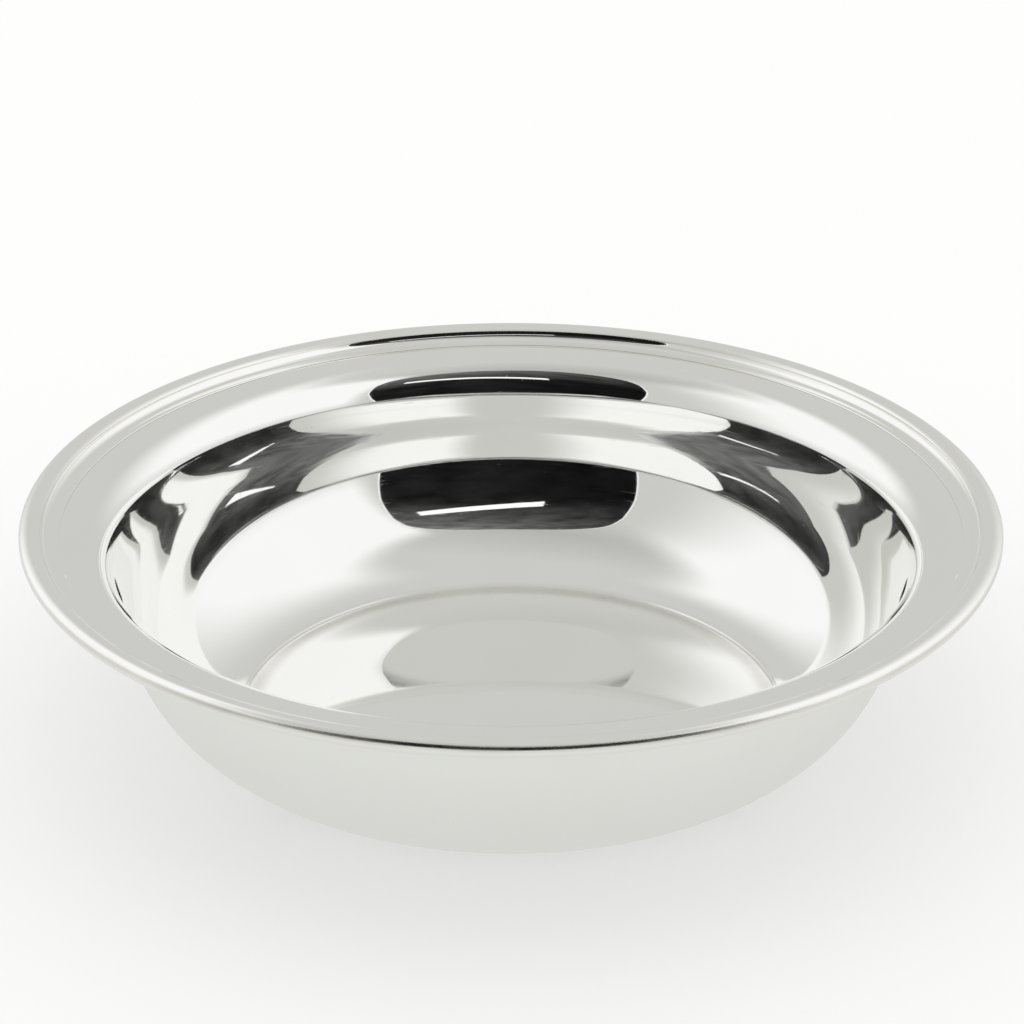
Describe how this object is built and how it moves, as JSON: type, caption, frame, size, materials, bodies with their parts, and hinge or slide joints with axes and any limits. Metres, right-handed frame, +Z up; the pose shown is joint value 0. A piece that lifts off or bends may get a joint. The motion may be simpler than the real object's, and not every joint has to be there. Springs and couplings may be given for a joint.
{
  "type": "offering bowl",
  "caption": "Round mirror-polished metal offering bowl with a wide flange, steep wall, rounded well, flat stepped foot and a moulded rim ring, for collecting or holding offerings.",
  "frame": {"origin": "centre of the flat base, on the surface that the bowl stands on", "axes": "+Z up along the bowl's axis; X and Y are free, since the bowl is round"},
  "size_m": [0.305, 0.305, 0.072],
  "materials": {
    "bowl_shell": "mirror-polished silver plate on spun sheet",
    "rim_ring": "mirror-polished silver plate on a drawn moulding"
  },
  "bodies": {
    "root": {"bowl_shell": "bowl_shell", "rim_ring": "rim_ring"}
  },
  "joints": []
}
